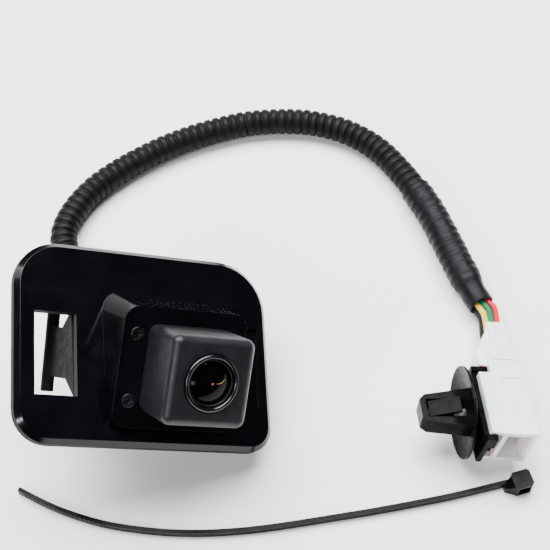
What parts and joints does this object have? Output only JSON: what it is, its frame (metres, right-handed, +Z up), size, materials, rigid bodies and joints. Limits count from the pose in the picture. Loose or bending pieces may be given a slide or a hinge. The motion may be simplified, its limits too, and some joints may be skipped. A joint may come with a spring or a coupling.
{
  "type": "backup camera kit",
  "caption": "Snap-in bracket with a tilted square camera, a corrugated lead loop to a multi-pin plug with a push-in retainer, and a loose cable tie.",
  "frame": {"origin": "on the surface that the kit lies on, below the middle of the box around the bracket, the camera and the cable tie", "axes": "+X along the kit from the bracket to the plug, +Y from the tie towards the lead loop, +Z up from the surface"},
  "size_m": [0.1392, 0.1414, 0.0541],
  "materials": {
    "gloss_black": "gloss, moulded",
    "black_nylon": "satin, moulded",
    "black_steel": "black oxide, satin",
    "charcoal_body": "matte, fine texture",
    "steel": "plain",
    "black_rubber": "matte",
    "lens_glass": "coated",
    "sensor_glass": "gloss",
    "board_green": "solder mask",
    "ivory_nylon": "moulded",
    "conduit_black": "corrugated, satin",
    "heat_shrink": "satin",
    "black_wire": "satin",
    "yellow_wire": "satin",
    "green_wire": "satin",
    "red_wire": "satin",
    "clear_nylon": "translucent, semi-gloss",
    "tinned_brass": "plated",
    "tie_nylon": "satin"
  },
  "bodies": {
    "kit": {"bracket_plate": "gloss_black", "bracket_screws": "black_steel", "camera_front_housing": "charcoal_body", "camera_rear_cover": "charcoal_body", "housing_screws": "steel", "housing_gasket": "black_rubber", "lens_bezel": "gloss_black", "lens_seal_ring": "black_rubber", "lens_barrel": "black_nylon", "front_lens": "lens_glass", "middle_lens": "lens_glass", "rear_lens": "lens_glass", "lens_holder": "black_nylon", "image_sensor": "sensor_glass", "sensor_board": "board_green", "board_link": "black_nylon", "power_board": "board_green", "lead_header": "ivory_nylon", "inner_leads": "red_wire", "cable_gland": "black_rubber", "conduit": "conduit_black", "heat_shrink_sleeve": "heat_shrink", "black_wire": "black_wire", "yellow_wire": "yellow_wire", "green_wire": "green_wire", "red_wire": "red_wire", "plug_housing": "clear_nylon", "plug_pins": "tinned_brass"},
    "left_arm": {"left_snap_arm": "black_nylon"},
    "right_arm": {"right_snap_arm": "black_nylon"},
    "lock": {"pin_lock": "clear_nylon"},
    "clip": {"retainer_clip": "black_nylon"},
    "upper_wing": {"upper_anchor_wing": "black_nylon"},
    "lower_wing": {"lower_anchor_wing": "black_nylon"},
    "tie": {"tie_strap": "tie_nylon"},
    "pawl": {"tie_pawl": "tie_nylon"}
  },
  "joints": [
    {"name": "left_arm_flex", "type": "hinge", "parent": "kit", "child": "left_arm", "pos_m": [-0.05109, 0.00002, 0.03639], "axis": [-0.0839, -0.8723, -0.4818], "range_deg": [0, 10], "stiffness_Nm_per_rad": 1.2},
    {"name": "right_arm_flex", "type": "hinge", "parent": "kit", "child": "right_arm", "pos_m": [-0.01481, 0.00687, 0.01766], "axis": [0.0839, 0.8723, 0.4818], "range_deg": [0, 10], "stiffness_Nm_per_rad": 1.2},
    {"name": "pin_lock_slide", "type": "slide", "parent": "kit", "child": "lock", "axis": [-0.9756, -0.0554, 0.2126], "range_m": [0, 0.002]},
    {"name": "clip_slide", "type": "slide", "parent": "kit", "child": "clip", "axis": [0.0863, -0.9865, 0.1392], "range_m": [0, 0.0009]},
    {"name": "upper_wing_flex", "type": "hinge", "parent": "clip", "child": "upper_wing", "pos_m": [0.04088, -0.00535, 0.0153], "axis": [-0.0863, 0.9865, -0.1392], "range_deg": [0, 12], "stiffness_Nm_per_rad": 0.25},
    {"name": "lower_wing_flex", "type": "hinge", "parent": "clip", "child": "lower_wing", "pos_m": [0.04056, -0.00583, 0.01205], "axis": [0.0863, -0.9865, 0.1392], "range_deg": [0, 12], "stiffness_Nm_per_rad": 0.25},
    {"name": "tie_lift", "type": "slide", "parent": "kit", "child": "tie", "axis": [0, 0, 1], "range_m": [0, 0.06]},
    {"name": "tie_pawl_flex", "type": "hinge", "parent": "tie", "child": "pawl", "pos_m": [0.06565, -0.02288, 0.0024], "axis": [0, 0, 1], "range_deg": [0, 12], "stiffness_Nm_per_rad": 0.06}
  ]
}
